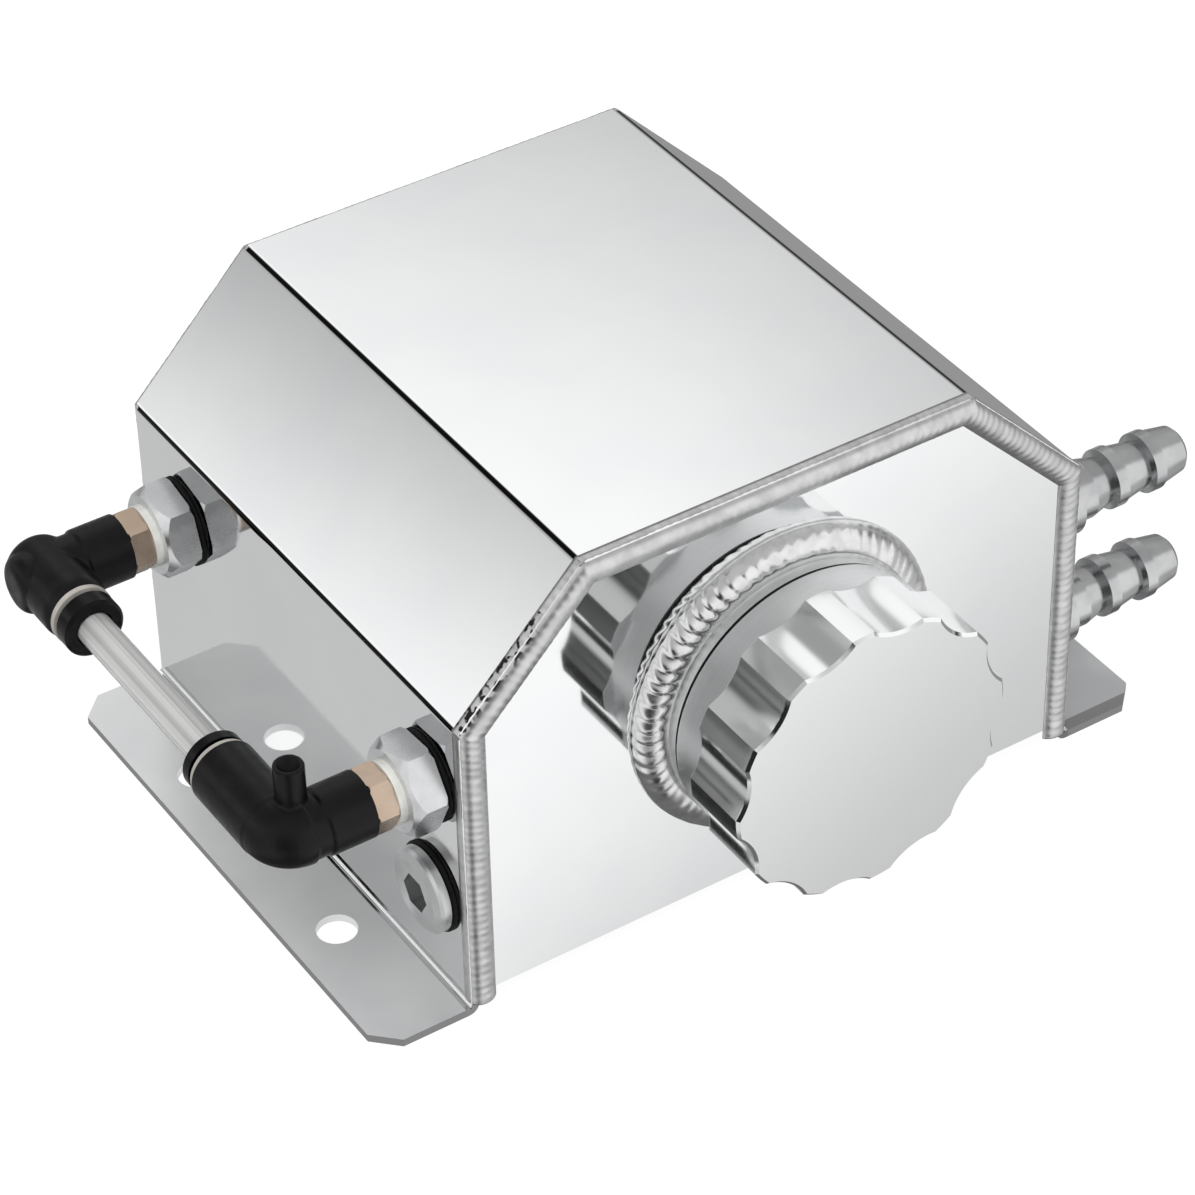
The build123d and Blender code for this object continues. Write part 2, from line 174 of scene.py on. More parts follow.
# %% The room and its cards
rise = add(sky, "ShaderNodeSeparateXYZ", Vector=direction).outputs["Z"]
ramp = add(sky, "ShaderNodeValToRGB",
           Fac=add(sky, "ShaderNodeMapRange", Value=rise, From_Min=-1.0, From_Max=1.0))
room = [(0.0, 0.16), (0.09, 0.16), (0.13, 0.58), (0.46, 0.52), (0.49, 0.06), (0.51, 0.06),
        (0.54, 0.42), (0.71, 0.44), (0.78, 0.54), (1.0, 0.56)]
for place, grey in room[1:-1]:
    ramp.color_ramp.elements.new(place)
for element, (place, grey) in zip(ramp.color_ramp.elements, room):
    element.position = place
    element.color = (grey, grey, grey, 1.0)
surroundings = ramp
studio_cards = {
    "overhead softbox": (1.04, [((20, 30.2), (40, 36.2), 4.4), ((38, 30), (37, 60), 4.0),
                                ((60, 78), (-40, 78), 5.0), ((-14, 70), (-14, 25), 4.0)]),
    "left softbox": (1.06, [((-36, 17.6), (-52, 28.0), 3.0), ((-100, 30), (-100, 0), 4.0),
                            ((-100, 4), (-30, 4), 1.5)]),
    "dim front floor": (0.35, [((105, -72), (105, -28), 6.0), ((105, -28), (182, -28), 6.0),
                               ((182, -28), (182, -72), 4.0), ((182, -72), (105, -72), 3.0)]),
    "front reflector": (1.04, [((137, -34.9), (149, -44.4), 3.0), ((197, -60), (197, 40), 3.0),
                               ((197, 34), (120, 34), 4.0)]),
    "left front reflector": (0.95, [((236, -50), (268, -50), 3.0), ((268, -50), (268, 45), 3.0),
                                    ((268, 45), (236, 45), 3.0), ((236, 45), (236, -50), 2.0)]),
    "dark camera stand": (0.02, [((206, 24), (206, -24), 3.0), ((232, -24), (232, 24), 3.0),
                                 ((232, 22), (206, 22), 5.0), ((206, -22), (232, -22), 5.0)]),
    "gap under the cap": (0.01, [((193, -34), (193, -58), 1.2), ((227, -58), (227, -34), 1.2),
                                 ((227, -36), (193, -36), 1.2), ((193, -57), (227, -57), 1.2)]),
    "dark table end": (0.30, [((33, -42), (100, -42), 4.0), ((100, -40), (100, 0), 3.0),
                              ((100, -6), (33, -6), 2.0), ((33, 0), (33, -45), 3.0)]),
}
for name, (grey, edges) in studio_cards.items():
    surroundings = card(surroundings, grey, edges)
    print("card:", name, grey)

# %% [markdown]
# What a ray finds depends on why it was sent. A camera ray and one that goes through the clear tube
# find a white backdrop, a glossy ray finds the cards, and everything else finds one even grey, so
# that dull surfaces are lit as plainly as on an overcast day.

# %% The world
soft_light = (0.62, 0.62, 0.62, 1.0)
white = (1.0, 1.0, 1.0, 1.0)
path = add(sky, "ShaderNodeLightPath").outputs
seen_white = add(sky, "ShaderNodeMath", EITHER, i0=path["Is Camera Ray"], i1=path["Is Transmission Ray"])
mirrored = add(sky, "ShaderNodeMix", RGBA, Factor=path["Is Glossy Ray"], i6=soft_light, i7=surroundings)
seen = add(sky, "ShaderNodeMix", RGBA, Factor=seen_white, i6=mirrored, i7=white)
backdrop = add(sky, "ShaderNodeBackground", Color=seen, Strength=1.0)
add(sky, "ShaderNodeOutputWorld", Surface=backdrop)


def mesh_object(name, shape):
    """Turn a bmesh into an object in the scene."""
    mesh = bpy.data.meshes.new(name)
    shape.to_mesh(mesh)
    shape.free()
    piece = bpy.data.objects.new(name, mesh)
    bpy.context.scene.collection.objects.link(piece)
    return piece


# %% [markdown]
# The floor is white paper just under the flanges. The camera sees it lit, with the tank's shadow. A
# polished face looks through it at the cards, apart from a small white disc under each flange hole,
# because the wall's mirror shows those holes as white as the camera does.

# %% The floor
floor_drop = 0.1 * MM
floor_reach = 2.5
disc_radius = 4.5 * MM
shape = bmesh.new()
bmesh.ops.create_grid(shape, x_segments=1, y_segments=1, size=floor_reach)
bmesh.ops.translate(shape, verts=shape.verts, vec=(0, 0, -floor_drop))
floor = mesh_object("floor", shape)
paper = bpy.data.materials.new("white paper floor")
paper.use_nodes = True
graph = paper.node_tree
graph.nodes.clear()
ray = add(graph, "ShaderNodeLightPath").outputs
dull = add(graph, "ShaderNodeBsdfDiffuse", Color=linear("#585858"))
glow = add(graph, "ShaderNodeEmission", Color=linear("#ffffff"), Strength=0.95)
lit = add(graph, "ShaderNodeAddShader", i0=dull, i1=glow)
spot = add(graph, "ShaderNodeTexCoord").outputs["Object"]
around = add(graph, "ShaderNodeVectorMath", ABSOLUTE, i0=spot)
hole_centre = (flange_hole[0] * MM, flange_hole[1] * MM, floor_drop)
to_hole = add(graph, "ShaderNodeVectorMath", DISTANCE, i0=around, i1=hole_centre)
under_hole = add(graph, "ShaderNodeMath", BELOW, i0=to_hole, i1=disc_radius)
clear = add(graph, "ShaderNodeBsdfTransparent")
disc = add(graph, "ShaderNodeEmission", Color=linear("#ffffff"), Strength=1.0)
in_mirror = add(graph, "ShaderNodeMixShader", Fac=under_hole, i1=clear, i2=disc)
pale = add(graph, "ShaderNodeBsdfDiffuse", Color=linear("#c8c8c8"))
bounced = add(graph, "ShaderNodeMixShader", Fac=ray["Is Glossy Ray"], i1=pale, i2=in_mirror)
straight = add(graph, "ShaderNodeMath", EITHER, i0=ray["Is Camera Ray"], i1=ray["Is Transmission Ray"])
chosen = add(graph, "ShaderNodeMixShader", Fac=straight, i1=bounced, i2=lit)
add(graph, "ShaderNodeOutputMaterial", Surface=chosen)
floor.data.materials.append(paper)
print("floor laid", floor_drop / MM, "mm under the flanges")

# %% [markdown]
# Two area lamps shape the dull pieces: a broad one over the left shoulder of the camera and a
# weaker one from the right. The polished metal doesn't see them, because it has the cards.

# %% The lamps
lamps = [("key", (-0.55, -0.45, 0.95), 0.7, 9.0), ("fill", (0.8, -0.5, 0.6), 0.8, 3.0)]
tank_middle = Vector((0, 0, 0.04))
for name, place, side, power in lamps:
    lamp_data = bpy.data.lights.new(name, "AREA")
    lamp_data.size = side
    lamp_data.energy = power
    lamp = bpy.data.objects.new(name, lamp_data)
    lamp.location = place
    lamp.rotation_euler = (Vector(place) - tank_middle).to_track_quat("Z", "Y").to_euler()
    lamp.visible_glossy = False
    lamp.visible_transmission = False
    bpy.context.scene.collection.objects.link(lamp)

# %% [markdown]
# ## Metals
# The tank is folded from aluminium sheet and buffed to a mirror. The metal's own colour is a hair
# below white, so the finish is all in the reflections: very low roughness and a trace of buffing haze.
# The thin dark lines in the folds and at the flange bends are painted shade. The sheared edges aren't
# buffed at all. A strip along the front of the right flange, and that flange's darker satin, are painted
# shade.


# %% Shared parts of a finish
# The colour of the painted shade along the folds and the flange bends.
fold_shade_colour = "#1c1c1c"


def fresh_finish(name):
    """A new material with its graph, its shader and the place on the piece in metres."""
    material = bpy.data.materials.new(name)
    material.use_nodes = True
    tree = material.node_tree
    place = add(tree, "ShaderNodeTexCoord").outputs["Object"]
    return material, tree, tree.nodes["Principled BSDF"], place


def blotches(tree, place, size, detail=2.0, low=0.35, high=0.65):
    """A pattern of blotches about size millimetres across, stretched to run from 0 to 1."""
    cloud = add(tree, "ShaderNodeTexNoise", Vector=place, Scale=1.0 / (size * MM), Detail=detail)
    return add(tree, "ShaderNodeMapRange", Value=cloud, From_Min=low, From_Max=high)


# %% Mirror-polished aluminium sheet
# Widths of the painted shade lines at the top and wall folds and at the flange bend, in millimetres.
fold_shade_width = 0.62
bend_shade_width = 0.17
solid_share = 0.6
sheet_top = 2.2
hole_rim = 4.2
# Where the strip of painted shade on the right flange's front ends, as a Y in millimetres.
painted_strip_edge = -49.0


def painted_shade_in_folds(tree, side, height):
    """Painted shade: thin dark lines along the folds, solid in the middle and fading at their edges."""
    flat = add(tree, "ShaderNodeCombineXYZ", X=side, Z=height)
    fold_shade = None
    for (x, z), reach in ((wall_fold, fold_shade_width), (top_fold, fold_shade_width), (flange_bend, bend_shade_width)):
        away = add(tree, "ShaderNodeVectorMath", DISTANCE, i0=flat, i1=(x * MM, 0, z * MM))
        line = add(tree, "ShaderNodeMapRange", SMOOTH, Value=away, From_Min=solid_share * reach * MM,
                   From_Max=reach * MM, To_Min=1.0, To_Max=0.0)
        fold_shade = line if fold_shade is None else add(tree, "ShaderNodeMath", EITHER, i0=fold_shade, i1=line)
    return fold_shade


def bare_edges(tree, parts, side, low, flange):
    """The sheared faces round the flanges and under the end plates, but not the drilled holes."""
    normal = add(tree, "ShaderNodeNewGeometry").outputs["True Normal"]
    tilt = add(tree, "ShaderNodeSeparateXYZ", Vector=normal).outputs
    level = add(tree, "ShaderNodeMath", ABSOLUTE, i0=tilt["Z"])
    upright = add(tree, "ShaderNodeMath", BELOW, i0=level, i1=0.5)
    length = add(tree, "ShaderNodeMath", ABSOLUTE, i0=parts["Y"])
    plan = add(tree, "ShaderNodeCombineXYZ", X=side, Y=length)
    centre = (flange_hole[0] * MM, flange_hole[1] * MM, 0)
    off_hole = add(tree, "ShaderNodeVectorMath", DISTANCE, i0=plan, i1=centre)
    rim = add(tree, "ShaderNodeMath", ABOVE, i0=off_hole, i1=hole_rim * MM)
    facing = add(tree, "ShaderNodeMath", ABSOLUTE, i0=tilt["Y"])
    endwise = add(tree, "ShaderNodeMath", ABOVE, i0=facing, i1=0.5)
    low_end = add(tree, "ShaderNodeMath", BOTH, i0=low, i1=endwise)
    cut = add(tree, "ShaderNodeMath", EITHER, i0=flange, i1=low_end)
    sheared = add(tree, "ShaderNodeMath", BOTH, i0=upright, i1=cut)
    return add(tree, "ShaderNodeMath", BOTH, i0=sheared, i1=rim)


def mirror_aluminium():
    material, tree, shader, place = fresh_finish("mirror-polished aluminium sheet")
    parts = add(tree, "ShaderNodeSeparateXYZ", Vector=place).outputs
    side = add(tree, "ShaderNodeMath", ABSOLUTE, i0=parts["X"])
    low = add(tree, "ShaderNodeMath", BELOW, i0=parts["Z"], i1=sheet_top * MM)
    outside = add(tree, "ShaderNodeMath", ABOVE, i0=side, i1=flange_edge * MM)
    flange = add(tree, "ShaderNodeMath", BOTH, i0=low, i1=outside)
    # A strip along the front of the right flange is painted shade, in the grey of the bare edges.
    ahead = add(tree, "ShaderNodeMath", BELOW, i0=parts["Y"], i1=painted_strip_edge * MM)
    right = add(tree, "ShaderNodeMath", ABOVE, i0=parts["X"], i1=0.0)
    right_end = add(tree, "ShaderNodeMath", BOTH, i0=ahead, i1=right)
    painted_shade_strip = add(tree, "ShaderNodeMath", BOTH, i0=right_end, i1=flange)
    bare_edges_and_painted_strip = add(tree, "ShaderNodeMath", EITHER, i0=bare_edges(tree, parts, side, low, flange), i1=painted_shade_strip)
    clean = add(tree, "ShaderNodeMix", RGBA, Factor=blotches(tree, place, 22.0), i6=linear("#f3f4f5"),
                i7=linear("#f6f7f7"))
    satin = add(tree, "ShaderNodeMix", RGBA, Factor=blotches(tree, place, 16.0), i6=linear("#dedfe0"),
                i7=linear("#e6e7e7"))
    # The right flange's satin is painted a shade darker, for the tank's own shade that falls on it.
    painted_shade_satin = add(tree, "ShaderNodeMix", RGBA, Factor=blotches(tree, place, 16.0), i6=linear("#bcbdbe"),
                 i7=linear("#c6c7c8"))
    satin = add(tree, "ShaderNodeMix", RGBA, Factor=right, i6=satin, i7=painted_shade_satin)
    colour = add(tree, "ShaderNodeMix", RGBA, Factor=flange, i6=clean, i7=satin)
    # The bare sheared edges keep their own duller grey; the right flange's front strip is painted shade in
    # that grey.
    colour = add(tree, "ShaderNodeMix", RGBA, Factor=bare_edges_and_painted_strip, i6=colour, i7=linear("#8f8f90"))
    # Thin dark lines of painted shade along the folds and the flange bends.
    colour = add(tree, "ShaderNodeMix", RGBA, Factor=painted_shade_in_folds(tree, side, parts["Z"]), i6=colour,
                 i7=linear(fold_shade_colour))
    haze = add(tree, "ShaderNodeMapRange", Value=blotches(tree, place, 14.0, 4.0), To_Min=0.035, To_Max=0.065)
    dull = add(tree, "ShaderNodeMapRange", Value=flange, To_Min=0.0, To_Max=0.34)
    metal = add(tree, "ShaderNodeMapRange", Value=flange, To_Min=1.0, To_Max=0.6)
    gloss = add(tree, "ShaderNodeMath", EITHER, i0=haze, i1=dull)
    buffing = add(tree, "ShaderNodeTexNoise", Vector=place, Scale=1.0 / (9.0 * MM), Detail=1.0)
    bump = add(tree, "ShaderNodeBump", Strength=0.5, Distance=0.004 * MM, Height=buffing)
    fill(shader, Base_Color=colour, Metallic=metal, Roughness=gloss, Normal=bump)
    return material


# %% [markdown]
# The seams are welded by hand with a filler rod, so each is a row of frozen ripples. The bare weld is
# greyer and duller than the buffed sheet, with a fine grain of oxide between the ripples. On the left
# shoulder a broken dark line of painted shade runs along the outer toe of the front bead.


# %% Aluminium weld
toe_solid = 0.15
toe_end = 0.75
toe_margin = 0.6
toe_stop = 7.0


def painted_toe_shade(tree, place):
    """Painted shade: dark blotches along the outer toe of the front bead, on the left shoulder only."""
    parts = add(tree, "ShaderNodeSeparateXYZ", Vector=place).outputs
    inward = Vector((top_fold[1] - wall_fold[1], 0, top_fold[0] - wall_fold[0])).normalized()
    fold = (-wall_fold[0] * MM, 0, wall_fold[1] * MM)
    from_fold = add(tree, "ShaderNodeVectorMath", {"operation": "SUBTRACT"}, i0=place, i1=fold)
    inset = add(tree, "ShaderNodeVectorMath", {"operation": "DOT_PRODUCT"}, i0=from_fold, i1=tuple(inward))
    outer = add(tree, "ShaderNodeMapRange", SMOOTH, Value=inset, From_Min=toe_solid * MM,
                From_Max=toe_end * MM, To_Min=1.0, To_Max=0.0)
    toe = add(tree, "ShaderNodeMath", BOTH, i0=outer, i1=blotches(tree, place, 1.3, 1.0, 0.49, 0.58))
    limits = ((ABOVE, "Z", wall_fold[1] + toe_margin), (BELOW, "X", -(top_fold[0] + toe_stop)),
              (BELOW, "Y", 0.0))
    for comparison, axis, limit in limits:
        inside = add(tree, "ShaderNodeMath", comparison, i0=parts[axis], i1=limit * MM)
        toe = add(tree, "ShaderNodeMath", BOTH, i0=toe, i1=inside)
    return toe


def weld_aluminium(name, tint_low, tint_high, roughness, with_toe_shade=False):
    material, tree, shader, place = fresh_finish(name)
    tint = add(tree, "ShaderNodeMix", RGBA, Factor=blotches(tree, place, 2.6), i6=linear(tint_low),
               i7=linear(tint_high))
    if with_toe_shade:
        # Painted shade along the bead's outer toe on the left shoulder.
        tint = add(tree, "ShaderNodeMix", RGBA, Factor=painted_toe_shade(tree, place), i6=tint, i7=linear("#2e2e2e"))
    gloss = add(tree, "ShaderNodeMapRange", Value=blotches(tree, place, 2.2, 3.0), To_Min=roughness,
                To_Max=roughness + 0.08)
    bump = add(tree, "ShaderNodeBump", Strength=0.4, Distance=0.006 * MM,
               Height=blotches(tree, place, 0.4, 2.0, 0.2, 0.8))
    fill(shader, Base_Color=tint, Metallic=1.0, Roughness=gloss, Normal=bump)
    return material


# %% [markdown]
# The neck and the cap are turned on a lathe and polished. The cutter leaves circles round the axis,
# which still show on the plain collar and the neck, but hardly on the buffed face.


# %% Polished turned aluminium
collar_front = -63.8
cap_flank = -76.0


def polished_aluminium():
    material, tree, shader, place = fresh_finish("polished turned aluminium")
    parts = add(tree, "ShaderNodeSeparateXYZ", Vector=place).outputs
    collar = add(tree, "ShaderNodeMath", ABOVE, i0=parts["Y"], i1=collar_front * MM)
    streaks = add(tree, "ShaderNodeTexNoise", STREAKS, W=parts["Y"], Scale=1.0 / (0.22 * MM), Detail=3.0)
    turned = add(tree, "ShaderNodeMath", BOTH, i0=streaks, i1=collar)
    tint = add(tree, "ShaderNodeMix", RGBA, Factor=turned, i6=linear("#f4f5f5"), i7=linear("#d6d7d8"))
    flank = add(tree, "ShaderNodeMath", ABOVE, i0=parts["Y"], i1=cap_flank * MM)
    brushed = add(tree, "ShaderNodeMapRange", Value=collar, To_Min=0.06, To_Max=0.24)
    fluted = add(tree, "ShaderNodeMapRange", Value=flank, To_Min=0.0, To_Max=0.10)
    gloss = add(tree, "ShaderNodeMath", PLUS, i0=brushed, i1=fluted)
    bump = add(tree, "ShaderNodeBump", Strength=0.6, Distance=0.03 * MM, Height=turned)
    fill(shader, Base_Color=tint, Metallic=1.0, Roughness=gloss, Normal=bump)
    return material


# %% [markdown]
# Barbs, bosses, adaptors and the plug are machined and left as they came off the lathe. Their grooves
# run round the X axis, about a fifth of a millimetre apart, drawn a little coarser so that they show.


# %% Machined aluminium
def machined_aluminium(name, tint_low, tint_high, roughness, groove):
    material, tree, shader, place = fresh_finish(name)
    parts = add(tree, "ShaderNodeSeparateXYZ", Vector=place).outputs
    grooves = add(tree, "ShaderNodeTexNoise", STREAKS, W=parts["X"], Scale=1.0 / (0.5 * MM), Detail=1.0)
    tint = add(tree, "ShaderNodeMix", RGBA, Factor=blotches(tree, place, 5.0), i6=linear(tint_low),
               i7=linear(tint_high))
    gloss = add(tree, "ShaderNodeMapRange", Value=blotches(tree, place, 4.0), To_Min=roughness,
                To_Max=roughness + 0.04)
    bump = add(tree, "ShaderNodeBump", Strength=0.5, Distance=groove * MM, Height=grooves)
    fill(shader, Base_Color=tint, Metallic=1.0, Roughness=gloss, Normal=bump)
    return material


# %% [markdown]
# The elbows' threaded stems are brass under a thin coat of nickel, which lets a warm tint through. The
# grip rings inside the elbows are bright spring steel.


# %% Nickel-plated brass and spring steel
def nickel_brass():
    material, tree, shader, place = fresh_finish("nickel-plated brass")
    tint = add(tree, "ShaderNodeMix", RGBA, Factor=blotches(tree, place, 4.0), i6=linear("#c3ae9b"),
               i7=linear("#ccb8a6"))
    gloss = add(tree, "ShaderNodeMapRange", Value=blotches(tree, place, 3.0), To_Min=0.26, To_Max=0.32)
    bump = add(tree, "ShaderNodeBump", Strength=0.4, Distance=0.002 * MM, Height=blotches(tree, place, 0.4))
    fill(shader, Base_Color=tint, Metallic=1.0, Roughness=gloss, Normal=bump)
    return material


def spring_steel():
    material, tree, shader, place = fresh_finish("bright spring steel")
    tint = add(tree, "ShaderNodeMix", RGBA, Factor=blotches(tree, place, 1.5), i6=linear("#b8b6b2"),
               i7=linear("#d4d2ce"))
    bump = add(tree, "ShaderNodeBump", Strength=0.4, Distance=0.01 * MM, Height=blotches(tree, place, 0.4))
    fill(shader, Base_Color=tint, Metallic=1.0, Roughness=0.28, Normal=bump)
    return material


# %% [markdown]
# ## Plastics and rubber
# The elbows are glass-filled nylon, moulded in a spark-eroded tool that leaves a fine pebble. Washers
# are nitrile rubber, seal rings are milky nylon with a soft sheen, and the tube is clear polyurethane
# that has gone slightly cloudy.


# %% Plastics and rubber
def moulded(name, dark, light, roughness, sheen, pebble, depth):
    material, tree, shader, place = fresh_finish(name)
    tint = add(tree, "ShaderNodeMix", RGBA, Factor=blotches(tree, place, 4.0, 4.0), i6=linear(dark),
               i7=linear(light))
    gloss = add(tree, "ShaderNodeMapRange", Value=blotches(tree, place, 2.0), To_Min=roughness - 0.05,
                To_Max=roughness + 0.06)
    bump = add(tree, "ShaderNodeBump", Strength=0.6, Distance=depth * MM,
               Height=blotches(tree, place, pebble, 3.0, 0.2, 0.8))
    fill(shader, Base_Color=tint, Specular_IOR_Level=sheen, Roughness=gloss, Normal=bump)
    return material


def clear_tube():
    """The tube's cloudiness runs in streaks along it, so the pattern is laid out by the angle round it."""
    material, tree, shader, place = fresh_finish("clear polyurethane tube")
    parts = add(tree, "ShaderNodeSeparateXYZ", Vector=place).outputs
    across = add(tree, "ShaderNodeMath", PLUS, i0=parts["X"], i1=-arm_axis * MM)
    above = add(tree, "ShaderNodeMath", PLUS, i0=parts["Z"], i1=-port_height * MM)
    angle = add(tree, "ShaderNodeMath", {"operation": "ARCTAN2"}, i0=above, i1=across)
    streaks = add(tree, "ShaderNodeTexNoise", STREAKS, W=angle, Scale=2.4, Detail=2.0)
    cloud = add(tree, "ShaderNodeMapRange", Value=streaks, From_Min=0.35, From_Max=0.65)
    tint = add(tree, "ShaderNodeMix", RGBA, Factor=cloud, i6=linear("#cbcbca"), i7=linear("#fafaf9"))
    gloss = add(tree, "ShaderNodeMapRange", Value=blotches(tree, place, 12.0), To_Min=0.16, To_Max=0.22)
    fill(shader, Base_Color=tint, Transmission_Weight=0.55, IOR=1.45, Roughness=gloss)
    return material


# %% [markdown]
# Each finish is made once and worn by every solid of that metal or plastic.

# %% Finishes given to the frame's nodes
finishes = {
    "mirror": mirror_aluminium(),
    "plate weld": weld_aluminium("bare aluminium weld", "#cdcdcd", "#dfdfdf", 0.34, True),
    "neck weld": weld_aluminium("brushed aluminium weld", "#dcdcdc", "#ececec", 0.19),
    "polished": polished_aluminium(),
    "floor plate": machined_aluminium("mill-finish aluminium plate", "#a9aaab", "#b9babb", 0.36, 0.01),
    "barb": machined_aluminium("turned aluminium", "#bcbdbe", "#cdcece", 0.20, 0.004),
    "adaptor": machined_aluminium("bright milled aluminium", "#d4d5d7", "#e1e2e3", 0.25, 0.001),
    "plug": machined_aluminium("satin turned aluminium", "#cfd0d1", "#dcdddd", 0.30, 0.004),
    "brass": nickel_brass(),
    "steel": spring_steel(),
    "rubber": moulded("black nitrile rubber", "#070707", "#0d0d0d", 0.60, 0.20, 0.25, 0.01),
    "nylon": moulded("black glass-filled nylon", "#08080a", "#0e0e10", 0.36, 0.20, 0.30, 0.006),
    "collar": moulded("black acetal", "#040405", "#080809", 0.30, 0.18, 0.3, 0.004),
    "band": moulded("grey acetal", "#a19d96", "#b1ada6", 0.45, 0.5, 0.3, 0.01),
    "seal": moulded("milky nylon", "#c9c9c3", "#e2e2dd", 0.30, 0.5, 1.2, 0.06),
    "tube": clear_tube(),
}
wearers = {
    "mirror": ["body_sheet", "front_plate", "rear_plate"],
    "plate weld": ["front_weld_bead", "rear_weld_bead", "floor_weld"],
    "neck weld": ["neck_weld"],
    "polished": ["filler_neck", "filler_cap"],
    "floor plate": ["floor_plate", "drain_boss", "lock_nut_front", "lock_nut_rear"],
    "barb": ["barb_boss_upper", "barb_boss_lower", "hose_barb_upper", "hose_barb_lower"],
    "adaptor": ["port_adaptor_front", "port_adaptor_rear"],
    "plug": ["drain_plug"],
    "brass": ["elbow_stem_front", "elbow_stem_rear"],
    "steel": ["grip_ring_front", "grip_ring_rear"],
    "rubber": ["cap_seal", "drain_washer", "port_washer_front", "port_washer_rear", "tube_seal_front",
               "tube_seal_rear"],
    "nylon": ["elbow_body_front", "elbow_body_rear"],
    "collar": ["release_collar_front", "release_collar_rear"],
    "band": ["elbow_band_front", "elbow_band_rear"],
    "seal": ["stem_seal_front", "stem_seal_rear"],
    "tube": ["sight_tube"],
}
for finish, names in wearers.items():
    for name in names:
        mesh = nodes[name].data
        mesh.materials.clear()
        mesh.materials.append(finishes[finish])
dressed = {name for names in wearers.values() for name in names}
print("nodes without a finish:", sorted(set(nodes) - dressed))

# %% [markdown]
# ## Weld beads
# A hand-welded bead freezes in crescents, one for each dab of the filler rod. Spheres piled up like
# coins would be too deep for these calm seams, so a bead is a fine grid here: its rows follow the
# seam, its columns go round the bead's section, and every point is lifted a little where a crescent
# crests. The crescents bow forward in the middle, because the pool is hottest there.


# %% Helpers for new pieces
row_step = 0.2


def finished(piece, body, slot, material, *replaced):
    """Give a new piece its material and its body, and hide the nodes that it stands for. The slot is not
    used.
    """
    piece.data.materials.clear()
    piece.data.materials.append(material)
    for face in piece.data.polygons:
        face.use_smooth = True
    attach(piece, body)
    if replaced:
        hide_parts(*replaced)
    print(piece.name, "faces:", len(piece.data.polygons))


def outline(curves, hidden):
    """A closed section: bezier curves over the skin, then a few points inside the metal."""
    skin = []
    for curve in curves:
        points = interpolate_bezier(*[Vector((*point, 0)) for point in curve], 11)
        skin += [Vector(point[:2]) for point in points[bool(skin):]]
    return skin, [Vector(point) for point in hidden]


def rippled(name, length, spot, section, pitch, depth, bow, edge, seed, peak=None):
    """A bead along a seam; spot(share, inset, height) gives the place of a point in millimetres.

    A ring has a peak, the angle at which its crescents are deepest, and its pattern closes on itself.
    """
    skin, hidden = section
    rows = len(skin) + len(hidden)
    steps = round(length / row_step)
    shape = bmesh.new()
    bmesh.ops.create_grid(shape, x_segments=steps, y_segments=rows, size=1.0)
    for vert in shape.verts:
        share = (vert.co.x + 1) / 2
        row = round((vert.co.y + 1) / 2 * rows) % rows
        inset, height = (skin + hidden)[row]
        along = share * length
        if row < len(skin):
            before, after = skin[max(row - 1, 0)], skin[min(row + 1, len(skin) - 1)]
            run = (after - before).normalized()
            over = 2 * row / (len(skin) - 1) - 1
            turn = 2 * pi * share
            track = (along / 9, 0, seed) if peak is None else (cos(turn) * 5, sin(turn) * 5, seed)
            wander = perlin(Vector(track))
            crest = along / pitch + bow * over * over + 0.5 * wander
            lift = sin(pi * (crest % 1.0) ** 1.5) ** edge * (1 - over ** 4)
            body = 0.10 * perlin(Vector(track) * 2.3) * (1 - over * over)
            deep = depth if peak is None else depth * (0.22 + 0.78 * max(cos(turn - peak), 0.0) ** 4)
            lift = deep * (lift - 0.5 * (1 - over ** 4)) + body
            inset, height = inset + run.y * lift, height - run.x * lift
        vert.co = spot(share, inset, height) * MM
    bmesh.ops.remove_doubles(shape, verts=shape.verts, dist=0.002 * MM)
    bmesh.ops.holes_fill(shape, edges=shape.edges)
    bmesh.ops.recalc_face_normals(shape, faces=shape.faces)
    return mesh_object(name, shape)


# %% [markdown]
# Round the neck the bead closes on itself, and its 72 crescents are deepest at the upper left. A bead's
# section is a distance outwards or inwards and a height over the plate, for each of its points.

# %% The weld round the neck
neck_centre = Vector((0.0, -end_face, neck_height))
neck_ring = 2 * pi * 26.0
neck_ripples = 72
deepest = radians(142)
neck_section = outline([((28.9, -0.05), (28.7, 2.0), (26.9, 3.7), (23.9, 3.6))],
                       [(23.5, 3.2), (23.5, -0.4), (26.8, -0.4)])


def round_neck(share, inset, height):
    """A point of the neck's weld: a share of the turn, a radius and a height over the plate."""
    angle = 2 * pi * share
    return neck_centre + Vector((inset * cos(angle), -height, inset * sin(angle)))


neck_bead = rippled("neck_weld_ripples", neck_ring, round_neck, neck_section, depth=0.34, bow=0.9, edge=1.1,
                    pitch=neck_ring / neck_ripples, seed=3.0, peak=deepest)
finished(neck_bead, "tank", "weld_aluminium", finishes["neck weld"], "neck_weld")

# %% [markdown]
# Round each end plate the bead follows the sheet's outline from one foot over the top to the other, and
# turns its corners in a mitre, as the welder's rod does when it stops and starts again.

